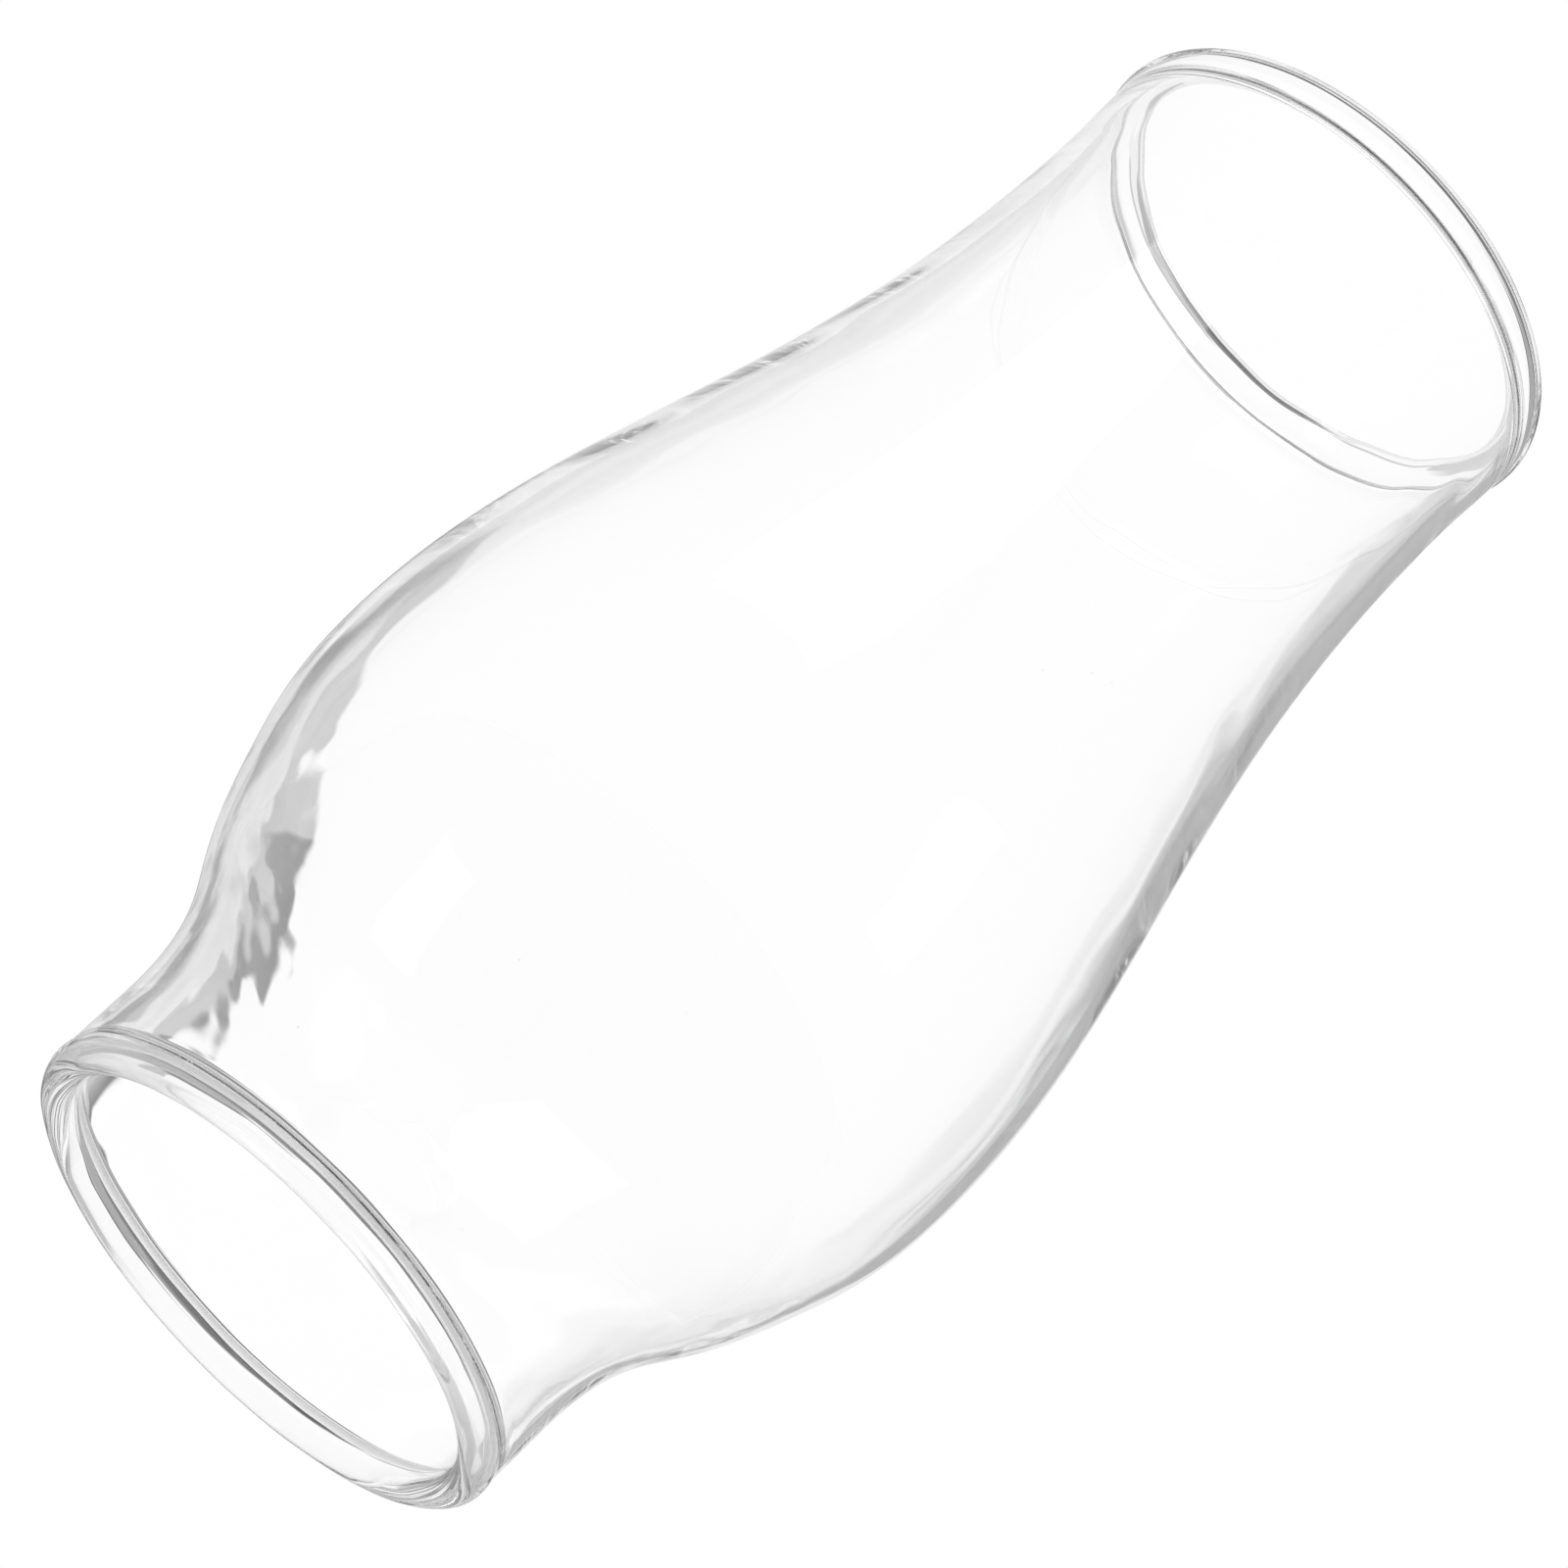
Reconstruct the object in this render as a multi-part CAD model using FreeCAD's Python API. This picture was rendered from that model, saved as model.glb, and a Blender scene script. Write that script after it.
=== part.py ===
import FreeCAD
import Part

import math
import os

from FreeCAD import Vector

# Clear glass of an oil lamp: one blown piece, open at both ends, with a round
# fire-polished bead at each rim, a short straight collar that the burner's prongs
# hold, a belly round the flame and a long neck with a slight waist under the top.
# Millimetres. The glass stands upright, its axis is Z, and the foot of its base
# bead lies on the plane z = 0.

# Overall height, and the outside radius of the two beads
glass_height = 215.9
base_radius = 38.1
top_radius = 38.1

# Thickness of each bead's round section
base_bead = 5.2
top_bead = 5.5

# The base bead is a little flattened where it stands, and on its outside and
# inside, where the burner's gallery and cone sit: the depth of those flats
bead_flat = 0.12

# Rounding between a bead and the wall
rim_blend = 1.2

# How far the outside of the wall lies inside the bead, at the base and at the top
collar_inset = 0.3
lip_inset = 0.5

# The collar above the base bead is straight up to this height
collar_height = 14.0

# Widest ring of the belly
belly_radius = 54.55
belly_height = 75.5

# Narrowest ring of the neck, and how far it lies below the top
waist_radius = 37.2
waist_drop = 18.9

# Thickness of the wall: the glass is thinnest where it is blown out furthest
collar_wall = 2.5
belly_wall = 1.9
neck_wall = 2.3

# Guide points of the wall's three stretches, as shares of the stretch's rise and of
# its change of radius: collar to belly, belly to waist, and waist to lip. The first
# and last legs of each are upright, so the stretches run on smoothly.
shoulder_shares = [(0, 0), (0.22, 0), (0.39, 0.49), (0.62, 0.78), (0.80, 1), (1, 1)]
taper_shares = [(0, 0), (0.12, 0), (0.33, 0.30), (0.72, 1), (1, 1)]
lip_shares = [(0, 0), (0.40, 0), (0.60, 1), (1, 1)]
curve_degree = 3

upwards = Vector(0, 0, 1)
origin = Vector(0, 0, 0)


def at(radius, height):
    """Point of the outline, in the half plane that is turned round the axis."""
    return Vector(radius, 0, height)


def on_bead(centre, section, angle):
    """Point of a bead's round section, at an angle in degrees above outwards."""
    turn = math.radians(angle)
    return centre + at(section * math.cos(turn), section * math.sin(turn))


def bead_arc(centre, section, start, end):
    """Arc of a bead's round section between two angles in degrees."""
    ends_and_middle = [on_bead(centre, section, angle) for angle in (start, (start + end) / 2, end)]
    return Part.Arc(*ends_and_middle).toShape()


def line(start, end):
    """Straight edge between two points of the outline."""
    return Part.LineSegment(start, end).toShape()


def rim_rounding(centre, section, wall_radius, side, up):
    """Hollow rounding between a bead and an upright wall.

    side is 1 for the outside of the wall and -1 for its inside; up is 1 where
    the wall stands on the bead and -1 where it hangs from it. Gives the edge,
    the angle on the bead where it starts, and its end on the wall.
    """
    reach = section + rim_blend
    across = wall_radius + side * rim_blend - centre.x
    middle = centre + at(across, up * math.sqrt(reach**2 - across**2))
    on_ring = centre + (middle - centre) * (section / reach)
    on_wall = at(wall_radius, middle.z)
    towards = (on_ring + on_wall) / 2 - middle
    deepest = middle + towards.normalize() * rim_blend
    angle = math.degrees(math.atan2(middle.z - centre.z, across))
    return Part.Arc(on_ring, deepest, on_wall).toShape(), angle, on_wall


def guide_points(low, high, shares):
    """Guide points of a stretch of the wall between two points of its outside."""
    rise = high.z - low.z
    change = high.x - low.x
    return [at(low.x + change * out, low.z + rise * up) for up, out in shares]


def pushed_in(points, shares, low_wall, high_wall):
    """Guide points of the wall's inside: the outside's, pushed in by the thickness."""
    inside = []
    for number, (point, (up, out)) in enumerate(zip(points, shares)):
        before = points[max(number - 1, 0)]
        after = points[min(number + 1, len(points) - 1)]
        along = (after - before).normalize()
        if out in (0, 1):
            along = upwards
        inwards = Vector(-along.z, 0, along.x)
        inside.append(point + inwards * (low_wall + (high_wall - low_wall) * out))
    return inside


def smooth_curve(points):
    """Smooth curve led by guide points, from the first one to the last one."""
    curve = Part.BSplineCurve()
    curve.buildFromPoles(points, False, curve_degree)
    return curve.toShape()


def wall_edges(outer_low, inner_low, outer_high, inner_high):
    """Edges of the wall's outside and inside, between its two rims."""
    collar = at(outer_low.x, collar_height)
    belly = at(belly_radius, belly_height)
    waist = at(waist_radius, glass_height - waist_drop)
    inner_collar = at(inner_low.x, collar_height)
    inner_waist = at(waist_radius - neck_wall, waist.z)
    shoulder = guide_points(collar, belly, shoulder_shares)
    taper = guide_points(belly, waist, taper_shares)
    outside = [
        line(outer_low, collar),
        smooth_curve(shoulder),
        smooth_curve(taper),
        smooth_curve(guide_points(waist, outer_high, lip_shares)),
    ]
    inside = [
        line(inner_low, inner_collar),
        smooth_curve(pushed_in(shoulder, shoulder_shares, collar_wall, belly_wall)),
        smooth_curve(pushed_in(taper, taper_shares, belly_wall, neck_wall)),
        smooth_curve(guide_points(inner_waist, inner_high, lip_shares)),
    ]
    return outside + inside


def base_rim(centre, section):
    """Edges of the base bead, from the collar's outside to its inside."""
    collar = base_radius - collar_inset
    outside, start, outer_end = rim_rounding(centre, section, collar, 1, 1)
    inside, end, inner_end = rim_rounding(centre, section, collar - collar_wall, -1, 1)
    half_flat = math.degrees(math.acos((section - bead_flat) / section))
    edges = [outside]
    for middle in (0, -90, -180):
        edges.append(bead_arc(centre, section, start, middle + half_flat))
        start = middle - half_flat
        edges.append(line(on_bead(centre, section, middle + half_flat), on_bead(centre, section, start)))
    edges.append(bead_arc(centre, section, start, end - 360))
    edges.append(inside)
    return edges, outer_end, inner_end


def top_rim(centre, section):
    """Edges of the top bead, from the lip's inside to its outside."""
    lip = top_radius - lip_inset
    outside, start, outer_end = rim_rounding(centre, section, lip, 1, -1)
    inside, end, inner_end = rim_rounding(centre, section, lip - neck_wall, -1, -1)
    return [inside, bead_arc(centre, section, end + 360, start), outside], outer_end, inner_end


def glass():
    """The whole glass, turned round its axis from one closed outline."""
    base_section = base_bead / 2 + bead_flat
    base_centre = at(base_radius + bead_flat - base_section, base_section - bead_flat)
    top_section = top_bead / 2
    top_centre = at(top_radius - top_section, glass_height - top_section)
    base, outer_base, inner_base = base_rim(base_centre, base_section)
    top, outer_top, inner_top = top_rim(top_centre, top_section)
    edges = base + wall_edges(outer_base, inner_base, outer_top, inner_top) + top
    outline = Part.Wire(Part.sortEdges(edges)[0])
    return Part.Face(outline).revolve(origin, upwards, 360)


os.makedirs("parts", exist_ok=True)
chimney = glass()
chimney.exportStep("parts/chimney_glass.step")
print("chimney_glass valid", chimney.isValid(), "volume mm3", round(chimney.Volume), "box", chimney.BoundBox)
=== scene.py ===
"""Looks of an oil lamp's clear glass: its blown shell, its finish, the studio and the camera.

Lengths are in metres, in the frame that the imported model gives: the glass stands upright,
its axis is Z and the foot of its base bead lies on z = 0.
"""
import logging
import math
from dataclasses import dataclass
from enum import Enum

import bmesh
import bpy
from mathutils import Matrix, Vector, noise


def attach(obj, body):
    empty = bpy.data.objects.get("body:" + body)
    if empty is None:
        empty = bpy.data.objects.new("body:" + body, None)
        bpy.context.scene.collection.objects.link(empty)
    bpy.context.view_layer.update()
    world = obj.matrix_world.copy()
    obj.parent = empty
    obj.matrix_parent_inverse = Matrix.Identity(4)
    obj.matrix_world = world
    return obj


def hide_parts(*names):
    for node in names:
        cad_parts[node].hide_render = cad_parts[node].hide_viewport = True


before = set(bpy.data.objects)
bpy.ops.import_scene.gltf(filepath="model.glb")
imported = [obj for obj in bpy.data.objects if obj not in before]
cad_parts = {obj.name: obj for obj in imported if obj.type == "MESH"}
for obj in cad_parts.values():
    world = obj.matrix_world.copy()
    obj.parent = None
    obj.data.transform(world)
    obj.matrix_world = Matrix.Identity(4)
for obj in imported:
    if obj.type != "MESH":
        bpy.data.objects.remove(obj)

log = logging.getLogger("lamp_glass")

MM = 0.001
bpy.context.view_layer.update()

Colour = tuple[float, float, float, float]
Shares = tuple[tuple[float, float], ...]


def grey(level: float) -> Colour:
    """Grey of one level, where 1 is white."""
    return (level, level, level, 1)


def put_in_scene(name: str, bm: bmesh.types.BMesh) -> bpy.types.Object:
    """Make an object of a finished shape, and free the shape.

    Args:
        name: Name of the object and of its mesh.
        bm: The shape, in its place.

    Returns:
        The object.
    """
    mesh = bpy.data.meshes.new(name)
    bm.to_mesh(mesh)
    bm.free()
    made = bpy.data.objects.new(name, mesh)
    bpy.context.scene.collection.objects.link(made)
    return made


class Side(Enum):
    """The two faces of the wall, with the way that each of them looks."""

    OUTSIDE = 1
    INSIDE = -1


class End(Enum):
    """The two ends of the glass, with the way from the bead to the wall."""

    BASE = 1
    TOP = -1


@dataclass(frozen=True)
class Bead:
    """Round rim of the glass.

    radius is the outside of the ring, and thickness the diameter of its section.
    """

    radius: float
    thickness: float

    @property
    def section(self) -> float:
        """Radius of the ring's round section."""
        return self.thickness / 2

    def centre(self, height: float) -> Vector:
        """Centre of the section, at a height above the foot."""
        return Vector((self.radius - self.section, 0, height))


@dataclass(frozen=True)
class Wall:
    """Thickness of the wall at three places, where 0 gives the wall's outside."""

    collar: float = 0.0
    belly: float = 0.0
    neck: float = 0.0


@dataclass(frozen=True)
class Waves:
    """Unevenness that blowing leaves in one face of the wall.

    depth is the most that the face is pushed in or out, across and along are the
    sizes of one wave round the glass and up it, low and high the heights between
    which the waves lie, fade the stretch over which they die away at both ends.
    shift moves the pattern, so that no two sets of waves are alike.
    """

    side: Side
    depth: float
    across: float
    along: float
    low: float
    high: float
    fade: float
    shift: float = 0.0

    def push(self, place: Vector) -> float:
        """Push of the face at a place.

        Args:
            place: A place on the face.

        Returns:
            How far the face is pushed along its normal.
        """
        share = min(place.z - self.low, self.high - place.z) / self.fade
        share = max(0.0, min(1.0, share))
        up = place.z / self.along + self.shift
        wave = Vector((place.x / self.across, place.y / self.across, up))
        return self.depth * share * share * (3 - 2 * share) * noise.noise(wave)


@dataclass
class ChimneyGlass:
    """The blown shell with its two beads, all one piece of glass.

    shoulder, taper and neck lead the outline from the collar to the belly, from there
    to the waist and from there to the top bead. Each pair is one guide point's share
    of the rise and its share of the change of radius.
    """

    height: float = 215.9 * MM
    base: Bead = Bead(38.1 * MM, 5.2 * MM)
    top: Bead = Bead(38.1 * MM, 5.5 * MM)
    rounding: float = 1.2 * MM
    collar_inset: float = 0.3 * MM
    lip_inset: float = 0.5 * MM
    collar_height: float = 14.0 * MM
    belly_radius: float = 54.55 * MM
    belly_height: float = 75.5 * MM
    waist_radius: float = 37.2 * MM
    waist_drop: float = 18.9 * MM
    wall: Wall = Wall(collar=2.5 * MM, belly=1.9 * MM, neck=2.3 * MM)
    shoulder: Shares = ((0, 0), (0.22, 0), (0.39, 0.49), (0.62, 0.78), (0.80, 1), (1, 1))
    taper: Shares = ((0, 0), (0.12, 0), (0.33, 0.30), (0.72, 1), (1, 1))
    neck: Shares = ((0, 0), (0.40, 0), (0.60, 1), (1, 1))
    turns: int = 256
    bead_steps: int = 30
    rounding_steps: int = 6
    curve_order: int = 4
    least_curve_steps: int = 3
    fine_gap: float = 1.0 * MM
    coarse_gap: float = 2.2 * MM
    merge_gap: float = 0.002 * MM
    waves: tuple[Waves, ...] = (
        Waves(Side.INSIDE, depth=0.075 * MM, across=9 * MM, along=14 * MM,
              low=6 * MM, high=205 * MM, fade=10 * MM),
        Waves(Side.INSIDE, depth=0.035 * MM, across=5 * MM, along=3 * MM,
              low=16 * MM, high=62 * MM, fade=14 * MM, shift=5),
        Waves(Side.OUTSIDE, depth=0.03 * MM, across=16 * MM, along=24 * MM,
              low=6 * MM, high=205 * MM, fade=10 * MM, shift=9),
        Waves(Side.OUTSIDE, depth=0.09 * MM, across=7 * MM, along=7 * MM,
              low=-10 * MM, high=12 * MM, fade=5 * MM, shift=13),
        Waves(Side.INSIDE, depth=0.06 * MM, across=7 * MM, along=7 * MM,
              low=-10 * MM, high=12 * MM, fade=5 * MM, shift=17),
    )

    def guides(self, low: Vector, high: Vector, shares: Shares,
               low_wall: float = 0.0, high_wall: float = 0.0) -> list[Vector]:
        """Guide points of a stretch of the wall.

        Args:
            low: Lower end of the stretch, on the outside of the wall.
            high: Upper end of the stretch, on the outside of the wall.
            shares: Each guide's share of the rise and of the change of radius.
            low_wall: Thickness to push in by at the lower end.
            high_wall: Thickness to push in by at the upper end.

        Returns:
            The guide points, from the lower end to the upper one.
        """
        outside = [Vector((low.x + (high.x - low.x) * out, 0, low.z + (high.z - low.z) * up))
                   for up, out in shares]
        pushed = []
        for number, (_, out) in enumerate(shares):
            before = outside[max(number - 1, 0)]
            after = outside[min(number + 1, len(outside) - 1)]
            along = Vector((0, 0, 1)) if out in (0, 1) else (after - before).normalized()
            wall = low_wall + (high_wall - low_wall) * out
            pushed.append(outside[number] + Vector((-along.z, 0, along.x)) * wall)
        return pushed

    def draw_curve(self, bm: bmesh.types.BMesh, guides: list[Vector], gap: float) -> None:
        """Add a smooth stretch of the outline that guide points lead.

        Args:
            bm: Mesh that takes the stretch's vertices and edges.
            guides: Guide points, from end to end.
            gap: Distance from one vertex to the next, about.
        """
        data = bpy.data.curves.new("stretch", "CURVE")
        data.dimensions = "3D"
        spline = data.splines.new("NURBS")
        spline.points.add(len(guides) - 1)
        for point, guide in zip(spline.points, guides):
            point.co = (*guide, 1)
        spline.order_u = self.curve_order
        spline.use_endpoint_u = True
        rise = abs(guides[-1].z - guides[0].z)
        steps = round(rise / gap / (len(guides) - 1))
        spline.resolution_u = max(self.least_curve_steps, steps)
        curve = bpy.data.objects.new("stretch", data)
        mesh = bpy.data.meshes.new_from_object(curve)
        bm.from_mesh(mesh)
        bpy.data.objects.remove(curve)
        bpy.data.curves.remove(data)
        bpy.data.meshes.remove(mesh)

    def draw_line(self, bm: bmesh.types.BMesh, low: Vector, high: Vector) -> None:
        """Add a straight stretch of the outline."""
        edge = bm.edges.new((bm.verts.new(low), bm.verts.new(high)))
        cuts = max(0, round((high - low).length / self.fine_gap) - 1)
        bmesh.ops.subdivide_edges(bm, edges=[edge], cuts=cuts)

    def draw_arc(self, bm: bmesh.types.BMesh, centre: Vector, start: Vector, turn: float,
                 steps: int) -> None:
        """Add an arc of the outline by spinning one point.

        Args:
            bm: Mesh that takes the arc's vertices and edges.
            centre: Centre of the arc.
            start: Where the arc starts.
            turn: Angle of the arc in radians, from outwards towards up.
            steps: Number of edges on the arc.
        """
        bmesh.ops.spin(bm, geom=[bm.verts.new(start)], cent=centre, axis=(0, -1, 0),
                       dvec=(0, 0, 0), angle=turn, space=Matrix(), steps=steps,
                       use_duplicate=False)

    def rounding_to_wall(self, centre: Vector, bead: Bead, wall: float, side: Side,
                         end: End) -> tuple[Vector, Vector, Vector]:
        """Hollow rounding between a bead and the wall above or below it.

        Args:
            centre: Centre of the bead's section.
            bead: The bead.
            wall: Radius of the upright wall.
            side: Face of the wall.
            end: End of the glass that the bead is at.

        Returns:
            The rounding's centre, its start on the bead and its end on the wall.
        """
        reach = bead.section + self.rounding
        across = wall + side.value * self.rounding - centre.x
        rise = math.sqrt(reach ** 2 - across ** 2)
        middle = centre + Vector((across, 0, end.value * rise))
        on_bead = centre + (middle - centre) * (bead.section / reach)
        return middle, on_bead, Vector((wall, 0, middle.z))

    def draw_rim(self, bm: bmesh.types.BMesh, bead: Bead, outer: float, inner: float,
                 end: End) -> tuple[Vector, Vector]:
        """Add a bead with the roundings that join it to the wall.

        Args:
            bm: Mesh of the outline.
            bead: The bead.
            outer: Radius of the wall's outside at the bead.
            inner: Radius of the wall's inside at the bead.
            end: End of the glass that the bead is at.

        Returns:
            The ends of the roundings on the outside and on the inside of the wall.
        """
        height = bead.section if end is End.BASE else self.height - bead.section
        centre = bead.centre(height)
        ends = []
        starts = []
        for side, wall in ((Side.OUTSIDE, outer), (Side.INSIDE, inner)):
            middle, on_bead, on_wall = self.rounding_to_wall(centre, bead, wall, side, end)
            first, last = on_bead - middle, on_wall - middle
            turn = math.atan2(last.z, last.x) - math.atan2(first.z, first.x)
            turn = (turn + math.pi) % math.tau - math.pi
            self.draw_arc(bm, middle, on_bead, turn, self.rounding_steps)
            ends.append(on_wall)
            starts.append(math.atan2(on_bead.z - centre.z, on_bead.x - centre.x))
        away = -end.value
        turn = (starts[1] - starts[0]) * away % math.tau * away
        reach = bead.section * Vector((math.cos(starts[0]), 0, math.sin(starts[0])))
        self.draw_arc(bm, centre, centre + reach, turn, self.bead_steps)
        return ends[0], ends[1]

    def outline(self) -> bmesh.types.BMesh:
        """Closed outline of the glass in the half plane right of the axis.

        Returns:
            A mesh of the outline's edges.
        """
        bm = bmesh.new()
        collar = self.base.radius - self.collar_inset
        lip = self.top.radius - self.lip_inset
        lows = self.draw_rim(bm, self.base, collar, collar - self.wall.collar, End.BASE)
        highs = self.draw_rim(bm, self.top, lip, lip - self.wall.neck, End.TOP)
        straight = Vector((collar, 0, self.collar_height))
        belly = Vector((self.belly_radius, 0, self.belly_height))
        waist = Vector((self.waist_radius, 0, self.height - self.waist_drop))
        for low, high, wall in zip(lows, highs, (Wall(), self.wall)):
            self.draw_line(bm, low, straight - Vector((wall.collar, 0, 0)))
            shoulder = self.guides(straight, belly, self.shoulder, wall.collar, wall.belly)
            self.draw_curve(bm, shoulder, self.fine_gap)
            taper = self.guides(belly, waist, self.taper, wall.belly, wall.neck)
            self.draw_curve(bm, taper, self.coarse_gap)
            neck = self.guides(waist - Vector((wall.neck, 0, 0)), high, self.neck)
            self.draw_curve(bm, neck, self.fine_gap)
        bmesh.ops.remove_doubles(bm, verts=bm.verts, dist=self.merge_gap)
        return bm

    def ripple(self, bm: bmesh.types.BMesh) -> None:
        """Push both faces of the wall in and out as blowing leaves them."""
        bm.normal_update()
        for vert in bm.verts:
            outward = vert.normal.x * vert.co.x + vert.normal.y * vert.co.y
            side = Side.OUTSIDE if outward > 0 else Side.INSIDE
            push = sum(wave.push(vert.co) for wave in self.waves if wave.side is side)
            vert.co += vert.normal * push

    def build(self) -> bpy.types.Object:
        """Turn the outline round the axis.

        Returns:
            The finished object.
        """
        bm = self.outline()
        open_ends = [vert for vert in bm.verts if len(vert.link_edges) != 2]
        log.info("outline has %d points and %d open ends", len(bm.verts), len(open_ends))
        bmesh.ops.spin(bm, geom=bm.verts[:] + bm.edges[:], cent=(0, 0, 0), axis=(0, 0, 1),
                       dvec=(0, 0, 0), angle=math.tau, space=Matrix(), steps=self.turns,
                       use_merge=True, use_duplicate=False)
        bmesh.ops.recalc_face_normals(bm, faces=bm.faces)
        self.ripple(bm)
        for face in bm.faces:
            face.smooth = True
        return put_in_scene("chimney_glass_shell", bm)


class Value:
    """A shader socket that Python's operators act on by adding Math nodes.

    The methods scaled, length and dot take a socket that gives a vector.
    """

    def __init__(self, nodes: "NodeMaker", socket: bpy.types.NodeSocket) -> None:
        """Wrap one output socket."""
        self.nodes = nodes
        self.socket = socket

    def _math(self, operation: str, *terms: "Value | float") -> "Value":
        """Join terms by one Math node."""
        inputs = dict(enumerate(terms))
        return self.nodes.add("ShaderNodeMath", {"operation": operation}, inputs)

    def __add__(self, other: "Value | float") -> "Value":
        """Sum."""
        return self._math("ADD", self, other)

    __radd__ = __add__

    def __mul__(self, other: "Value | float") -> "Value":
        """Product."""
        return self._math("MULTIPLY", self, other)

    __rmul__ = __mul__

    def __sub__(self, other: "Value | float") -> "Value":
        """Difference."""
        return self._math("SUBTRACT", self, other)

    def __rsub__(self, other: "Value | float") -> "Value":
        """Difference from a number."""
        return self._math("SUBTRACT", other, self)

    def __truediv__(self, other: "Value | float") -> "Value":
        """Quotient."""
        return self._math("DIVIDE", self, other)

    def __pow__(self, other: "Value | float") -> "Value":
        """Power."""
        return self._math("POWER", self, other)

    def __abs__(self) -> "Value":
        """Size without sign."""
        return self._math("ABSOLUTE", self)

    def step(self, low: float, high: float) -> "Value":
        """Smooth step from 0 at low to 1 at high, where low may be the larger one."""
        settings = {"interpolation_type": "SMOOTHSTEP"}
        inputs = {"Value": self, "From Min": min(low, high), "From Max": max(low, high)}
        rising = self.nodes.add("ShaderNodeMapRange", settings, inputs)
        return rising if low < high else 1 - rising

    def towards(self, level: float, share: "Value") -> "Value":
        """Pass from this value to a level, as far as a share from 0 to 1 says."""
        return self + (level - self) * share

    def scaled(self, factors: tuple[float, float, float]) -> "Value":
        """Vector with each of its parts times a factor."""
        return self.nodes.add("ShaderNodeVectorMath", {"operation": "MULTIPLY"},
                              {0: self, 1: factors})

    def length(self) -> "Value":
        """Length of the vector."""
        return self.nodes.add("ShaderNodeVectorMath", {"operation": "LENGTH"},
                              {0: self}, "Value")

    def dot(self, axis: Vector) -> "Value":
        """Part of the vector that lies along an axis."""
        return self.nodes.add("ShaderNodeVectorMath", {"operation": "DOT_PRODUCT"},
                              {0: self, 1: tuple(axis)}, "Value")


class NodeMaker:
    """Adds nodes to one shader tree."""

    def __init__(self, owner: bpy.types.Material | bpy.types.World) -> None:
        """Empty the owner's tree and take it over."""
        owner.use_nodes = True
        self.tree = owner.node_tree
        self.tree.nodes.clear()

    def add(self, kind: str, settings: dict | None = None, inputs: dict | None = None,
            output: int | str = 0) -> Value:
        """Add one node.

        Args:
            kind: Type of the node.
            settings: Properties of the node, which are set first.
            inputs: Values or links of its sockets, by name or number.
            output: Output socket to give back, by name or number.

        Returns:
            The chosen output, ready for expressions.
        """
        node = self.tree.nodes.new(kind)
        for name, setting in (settings or {}).items():
            setattr(node, name, setting)
        for name, value in (inputs or {}).items():
            if isinstance(value, Value):
                self.tree.links.new(value.socket, node.inputs[name])
            else:
                node.inputs[name].default_value = value
        return Value(self, node.outputs[output] if node.outputs else None)

    def grey_colour(self, level: Value) -> Value:
        """Grey colour whose level is a value."""
        return self.add("ShaderNodeCombineColor", inputs={0: level, 1: level, 2: level})

    def clear(self, colour: Colour) -> Value:
        """Shader that light passes straight, tinted by a colour."""
        return self.add("ShaderNodeBsdfTransparent", inputs={"Color": colour})

    def mix(self, share: Value, first: Value, second: Value) -> Value:
        """Mix two shaders: the first where the share is 0 and the second where it is 1."""
        return self.add("ShaderNodeMixShader", inputs={0: share, 1: first, 2: second})


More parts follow.
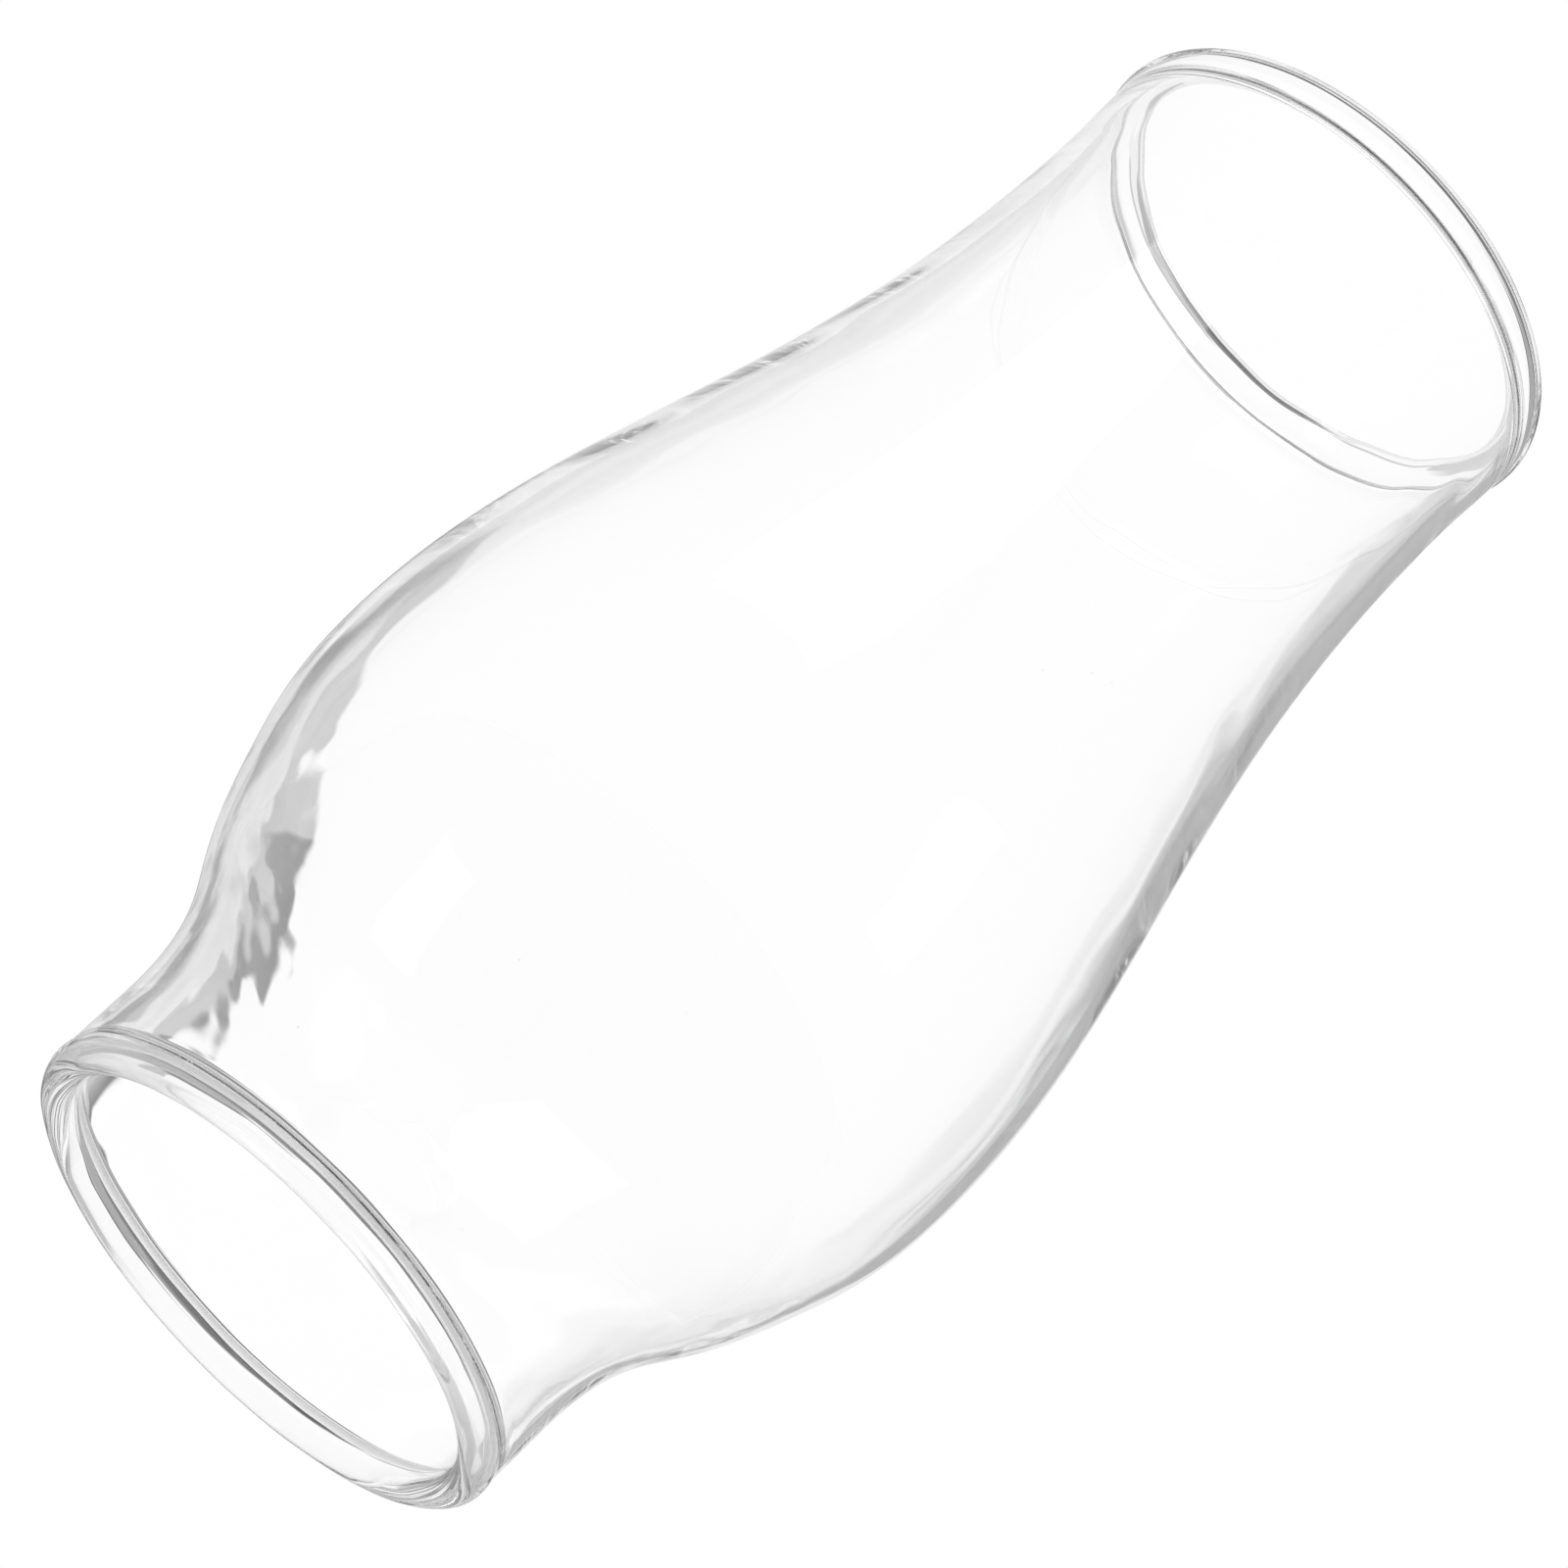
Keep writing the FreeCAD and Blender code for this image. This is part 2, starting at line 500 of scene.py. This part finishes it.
@dataclass(frozen=True)
class ClearGlass:
    """Clear soda glass, polished by fire.

    Scales are in waves, or specks, for each metre, and depths in metres. A pair named
    edges says at which levels of its noise a mark starts and is full. Light that has
    been mirrored more than bounces times inside the wall leaves it straight, through
    painted swirls of shade and light. The glass's colour greys where the wall is seen
    edge on: painted shade at its outline.
    """

    refraction: float = 1.5
    clearness: float = 0.995
    # Painted shade: grey level and power of the darkening where the wall is seen edge on.
    painted_edge_shade_level: float = 0.06
    painted_edge_shade_power: float = 5
    smudge_scale: float = 45
    smudge_detail: float = 2.0
    smudge_fineness: float = 0.6
    smudge_edges: tuple[float, float] = (0.58, 0.74)
    smudge_roughness: float = 0.012
    cord_scale: tuple[float, float, float] = (260, 260, 30)
    cord_depth: float = 0.004 * MM
    seed_scale: float = 95
    seed_size: float = 0.014
    seed_core: float = 0.014 / 3
    seed_shade: float = 0.5
    bounces: float = 3.5
    bounce_fade: float = 0.1
    # Painted swirls of shade and light, shown where light is no longer followed.
    painted_swirl_scale: float = 900
    painted_swirl_turn_scale: float = 60
    painted_swirl_detail: float = 1.0
    painted_swirl_edges: tuple[float, float] = (0.44, 0.56)
    # Painted shade and painted light of the swirls.
    painted_trapped_shade: Colour = grey(0.25)
    painted_escaped_light: Colour = grey(1.0)
    shade: Colour = grey(0.86)
    edge_shade: Colour = grey(0.25)
    shade_power: float = 3

    def material(self) -> bpy.types.Material:
        """Make the material.

        Returns:
            Glass to the camera and to what it bends or mirrors, and a light veil
            to the light that falls through it on the floor. Light that has been
            mirrored too often inside the wall to be followed leaves it straight, through painted
            swirls of shade and light.
        """
        made = bpy.data.materials.new("clear_glass")
        nodes = NodeMaker(made)
        place = nodes.add("ShaderNodeTexCoord", output="Object")
        facing = nodes.add("ShaderNodeLayerWeight", inputs={"Blend": 0.5}, output="Facing")
        mirrored = nodes.add("ShaderNodeLightPath", output="Glossy Depth")
        held = mirrored.step(self.bounces, self.bounces + self.bounce_fade)
        # Past the mirrorings followed, painted swirls of shade and light take the glass's place.
        glass = nodes.mix(held, self.polished(nodes, place, facing),
                          self.painted_trapped_light(nodes, place))
        veil = nodes.mix(facing ** self.shade_power, nodes.clear(self.shade),
                         nodes.clear(self.edge_shade))
        shadow = nodes.add("ShaderNodeLightPath", output="Is Shadow Ray")
        diffuse = nodes.add("ShaderNodeLightPath", output="Is Diffuse Ray")
        shader = nodes.mix(shadow + diffuse, glass, veil)
        nodes.add("ShaderNodeOutputMaterial", inputs={"Surface": shader})
        return made

    def polished(self, nodes: NodeMaker, place: Value, facing: Value) -> Value:
        """Glass that bends and mirrors, with smudges, cords and seeds, and painted shade that
        greys its colour where the wall is seen edge on.

        Args:
            nodes: Tree that takes the nodes.
            place: Object coordinates.
            facing: 0 where the wall faces the eye and 1 where it is seen along its face.

        Returns:
            The glass's shader.
        """
        smudges = nodes.add("ShaderNodeTexNoise", inputs={
            "Vector": place, "Scale": self.smudge_scale, "Detail": self.smudge_detail,
            "Roughness": self.smudge_fineness})
        cords = nodes.add("ShaderNodeTexNoise", inputs={
            "Vector": place.scaled(self.cord_scale), "Scale": 1.0, "Detail": 0.0})
        seeds = nodes.add("ShaderNodeTexVoronoi", inputs={
            "Vector": place, "Scale": self.seed_scale, "Randomness": 1.0}, output="Distance")
        # Painted shade: the colour greys where the wall is seen edge on.
        level = self.clearness - (self.clearness - self.painted_edge_shade_level) * facing ** self.painted_edge_shade_power
        level = level * (1 - seeds.step(self.seed_size, self.seed_core) * self.seed_shade)
        bump = nodes.add("ShaderNodeBump", inputs={
            "Strength": 1.0, "Distance": self.cord_depth, "Height": cords})
        return nodes.add("ShaderNodeBsdfPrincipled", inputs={
            "Base Color": nodes.grey_colour(level),
            "Transmission Weight": 1.0,
            "IOR": self.refraction,
            "Roughness": smudges.step(*self.smudge_edges) * self.smudge_roughness,
            "Normal": bump,
        })

    def painted_trapped_light(self, nodes: NodeMaker, place: Value) -> Value:
        """Painted shade and painted light where light stays inside a bead: swirls of dark grey and
        clear that run round with the bead.

        Args:
            nodes: Tree that takes the nodes.
            place: Object coordinates.

        Returns:
            The mixed shader.
        """
        out = place.scaled((1, 1, 0)).length()
        up = nodes.add("ShaderNodeSeparateXYZ", inputs={0: place}, output="Z")
        forward = nodes.add("ShaderNodeSeparateXYZ", inputs={0: place}, output="Y")
        spread = nodes.add("ShaderNodeCombineXYZ", inputs={
            0: out * self.painted_swirl_scale, 1: up * self.painted_swirl_scale,
            2: forward * self.painted_swirl_turn_scale})
        swirls = nodes.add("ShaderNodeTexNoise", inputs={
            "Vector": spread, "Scale": 1.0, "Detail": self.painted_swirl_detail})
        # Painted shade and painted light, in swirls.
        return nodes.mix(swirls.step(*self.painted_swirl_edges), nodes.clear(self.painted_trapped_shade),
                         nodes.clear(self.painted_escaped_light))


@dataclass(frozen=True)
class FloorPaper:
    """Pale paper with a faint grain, which is there from above only.

    It is full up to full_radius from the glass, and gone at end_radius.
    """

    colour: Colour = grey(0.86)
    roughness: float = 0.8
    gloss: float = 0.2
    grain_scale: float = 900
    grain_detail: float = 3.0
    grain_strength: float = 0.1
    grain_depth: float = 0.05 * MM
    full_radius: float = 0.8
    end_radius: float = 1.6

    def material(self) -> bpy.types.Material:
        """Make the material."""
        made = bpy.data.materials.new("floor_paper")
        nodes = NodeMaker(made)
        place = nodes.add("ShaderNodeTexCoord", output="Object")
        grain = nodes.add("ShaderNodeTexNoise", inputs={
            "Vector": place, "Scale": self.grain_scale, "Detail": self.grain_detail})
        bump = nodes.add("ShaderNodeBump", inputs={
            "Strength": self.grain_strength, "Distance": self.grain_depth, "Height": grain})
        paper = nodes.add("ShaderNodeBsdfPrincipled", inputs={
            "Base Color": self.colour, "Roughness": self.roughness,
            "Specular IOR Level": self.gloss, "Normal": bump})
        below = nodes.add("ShaderNodeNewGeometry", output="Backfacing")
        faded = place.length().step(self.full_radius, self.end_radius)
        gone = 1 - (1 - faded) * (1 - below)
        shader = nodes.mix(gone, paper, nodes.clear(grey(1.0)))
        nodes.add("ShaderNodeOutputMaterial", inputs={"Surface": shader})
        return made


@dataclass(frozen=True)
class Floor:
    """Floor just under the foot of the glass.

    It is one triangle round the circle where its paper ends, so no edge crosses it.
    """

    depth: float = 0.1 * MM
    paper: FloorPaper = FloorPaper()

    def build(self) -> bpy.types.Object:
        """Lay the floor.

        Returns:
            The floor.
        """
        bm = bmesh.new()
        corner = self.paper.end_radius * 2
        bmesh.ops.create_circle(bm, cap_ends=True, segments=3, radius=corner)
        bmesh.ops.translate(bm, verts=bm.verts, vec=(0, 0, -self.depth))
        bmesh.ops.recalc_face_normals(bm, faces=bm.faces)
        downward = [face for face in bm.faces if face.normal.z < 0]
        bmesh.ops.reverse_faces(bm, faces=downward)
        floor = put_in_scene("floor", bm)
        floor.data.materials.append(self.paper.material())
        return floor


@dataclass(frozen=True)
class SoftLamp:
    """Softbox that looks at the middle of the glass.

    level is how bright its face looks, where 1 is white, and gives its power.
    """

    name: str
    azimuth: float
    elevation: float
    distance: float
    width: float
    height: float
    level: float
    aim_height: float = 100 * MM

    def build(self) -> None:
        """Hang the softbox."""
        data = bpy.data.lights.new(self.name, "AREA")
        data.shape = "RECTANGLE"
        data.size = self.width
        data.size_y = self.height
        data.energy = self.level * math.pi * self.width * self.height
        lamp = bpy.data.objects.new(self.name, data)
        turn = math.radians(self.azimuth)
        rise = math.radians(self.elevation)
        flat = math.cos(rise)
        way = Vector((flat * math.cos(turn), flat * math.sin(turn), math.sin(rise)))
        lamp.location = Vector((0, 0, self.aim_height)) + way * self.distance
        lamp.rotation_euler = way.to_track_quat("Z", "Y").to_euler()
        bpy.context.scene.collection.objects.link(lamp)


@dataclass(frozen=True)
class PhotoCamera:
    """Camera at the photograph's viewing angle, for an image of 1600 by 1600.

    Angles are in degrees, and sensor is in the camera's own millimetres.
    """

    aim_height: float = 100.6 * MM
    distance: float = 827.4 * MM
    elevation: float = -25.58
    roll: float = 46.51
    focal_pixels: float = 6453
    image_pixels: float = 1600
    sensor: float = 36

    def turn(self) -> Matrix:
        """Turn of the camera: its X is the picture's right and its Y the picture's top."""
        tilt = Matrix.Rotation(math.radians(90 - self.elevation), 4, "X")
        return tilt @ Matrix.Rotation(math.radians(self.roll), 4, "Z")

    def direction(self, across: float, up: float) -> Vector:
        """World direction at some degrees right of and above the line of view."""
        ahead = Vector((math.tan(math.radians(across)), math.tan(math.radians(up)), -1))
        return (self.turn().to_3x3() @ ahead).normalized()

    def build(self) -> None:
        """Make the camera and give it to the scene."""
        data = bpy.data.cameras.new("photo_camera")
        data.sensor_width = self.sensor
        data.lens = self.sensor * self.focal_pixels / self.image_pixels
        camera = bpy.data.objects.new("photo_camera", data)
        bpy.context.scene.collection.objects.link(camera)
        rise = math.radians(self.elevation)
        back = Vector((0, -math.cos(rise), math.sin(rise)))
        place = Vector((0, 0, self.aim_height)) + back * self.distance
        camera.matrix_world = Matrix.Translation(place) @ self.turn()
        bpy.context.scene.camera = camera


@dataclass(frozen=True)
class Card:
    """A card or a stretch of wall round the glass, as the glass sees it.

    across and up say where its middle lies, in degrees right of and above the line
    of the photograph's view; width and height are its half angles, turn its roll.
    level is how bright it looks, where 1 is white, and soft the width of its edge.
    """

    across: float
    up: float
    width: float
    height: float
    level: float
    turn: float = 0
    soft: float = 2


@dataclass(frozen=True)
class Studio:
    """Pale surroundings of the glass, with two softboxes.

    ahead_level is the level of the wall ahead of the photograph's view, wall_level that
    of all the others, and ahead_ends says how many degrees off the line of view one
    passes into the other. A card hides the ones before it. in_front is the cosine to
    its middle from which a direction is in front of a card.
    """

    camera: PhotoCamera
    ahead_level: float = 0.56
    wall_level: float = 1.0
    ahead_ends: tuple[float, float] = (38, 42)
    in_front: float = 0.02
    cards: tuple[Card, ...] = (
        # Left of the view
        Card(-16, 8, 13, 9, 0.88),
        Card(-29, 8, 2.5, 8, 0.5, soft=1),
        Card(-17, -6.5, 11.5, 6.5, 0.38, turn=-10, soft=1.5),
        Card(-36.5, 0, 3.5, 14, 1.0, soft=1),
        # Along the backdrop's left edge
        Card(-9.4, 3, 1.6, 8, 0.5, turn=-10, soft=0.5),
        Card(-9.9, -3, 0.9, 3.5, 0.16, turn=-10, soft=0.4),
        # Below left, seen in the dark lines of the base bead
        Card(-18.5, -17, 6, 5.5, 0.15, soft=1.5),
        Card(-27, -26, 11, 9, 0.04),
        # Above left
        Card(-26, 27, 9, 6, 0.42, turn=45),
        Card(-17, 18, 5, 4, 1.15, turn=45),
        # Right of the view, above it and below it
        Card(14, 6, 5, 5, 0.95),
        Card(24, 27, 22, 11.4, 1.0, turn=30),
        Card(-4, 34, 16, 20, 1.0, soft=3),
        Card(2, -36, 20, 8, 1.0),
        Card(26, -26, 9, 3.5, 1.05, turn=45, soft=1),
        # Small ones close to the backdrop
        Card(6, -7, 5, 5, 1.0, soft=1.5),
        Card(-9, -12, 4, 4, 1.05, soft=1),
        Card(-8.3, -3.5, 1.2, 2.8, 1.0, turn=-10, soft=0.4),
        # White backdrop behind the glass, and the grey strip across its lower part
        Card(1.35, -0.2, 9.75, 60, 1.0, turn=-10, soft=0.4),
        Card(3, -22.5, 13, 2.2, 0.55, soft=1),
    )
    lamps: tuple[SoftLamp, ...] = (
        SoftLamp("key_softbox", azimuth=-130, elevation=50, distance=1.5,
                 width=0.9, height=0.6, level=1.6),
        SoftLamp("fill_softbox", azimuth=-40, elevation=30, distance=1.6,
                 width=0.4, height=0.6, level=1.4),
    )

    def card_mask(self, ray: Value, card: Card) -> Value:
        """How much of a ray's direction lies on a card.

        Args:
            ray: Direction of the ray.
            card: The card.

        Returns:
            1 on the card and 0 off it, with a soft edge.
        """
        middle = self.camera.direction(card.across, card.up)
        side = (self.camera.direction(card.across + 1, card.up) - middle).normalized()
        top = side.cross(middle)
        roll = math.radians(card.turn)
        cosine, sine = math.cos(roll), math.sin(roll)
        side, top = side * cosine + top * sine, top * cosine - side * sine
        ahead = ray.dot(middle)
        mask = ahead.step(0.0, self.in_front)
        for axis, half in ((side, card.width), (top, card.height)):
            reach = abs(ray.dot(axis)) / ahead
            mask = mask * reach.step(math.tan(math.radians(half + card.soft)),
                                     math.tan(math.radians(half - card.soft)))
        return mask

    def surroundings(self) -> None:
        """Make the world: white to the camera, and cards to what the glass bends and mirrors."""
        world = bpy.data.worlds.new("studio")
        bpy.context.scene.world = world
        nodes = NodeMaker(world)
        ray = nodes.add("ShaderNodeTexCoord", output="Generated")
        along = ray.dot(self.camera.direction(0, 0))
        beside = along.step(*(math.cos(math.radians(angle)) for angle in self.ahead_ends))
        level = beside * (self.wall_level - self.ahead_level) + self.ahead_level
        for card in self.cards:
            level = level.towards(card.level, self.card_mask(ray, card))
        camera_ray = nodes.add("ShaderNodeLightPath", output="Is Camera Ray")
        level = level.towards(1, camera_ray)
        colour = nodes.grey_colour(level)
        background = nodes.add("ShaderNodeBackground", inputs={"Color": colour})
        nodes.add("ShaderNodeOutputWorld", inputs={"Surface": background})


def main() -> None:
    """Build the glass, the camera and the studio."""
    logging.basicConfig(level=logging.INFO)
    bpy.context.scene.view_settings.view_transform = "Standard"
    shell = ChimneyGlass().build()
    shell.data.materials.append(ClearGlass().material())
    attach(shell, "root")
    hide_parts("chimney_glass")
    log.info("%s has %d faces", shell.name, len(shell.data.polygons))
    camera = PhotoCamera()
    camera.build()
    studio = Studio(camera)
    studio.surroundings()
    log.info("studio has %d cards", len(studio.cards))
    Floor().build()
    log.info("floor is laid")
    for lamp in studio.lamps:
        lamp.build()
        log.info("%s hangs %.1f m away", lamp.name, lamp.distance)


if __name__ == "__main__":
    main()
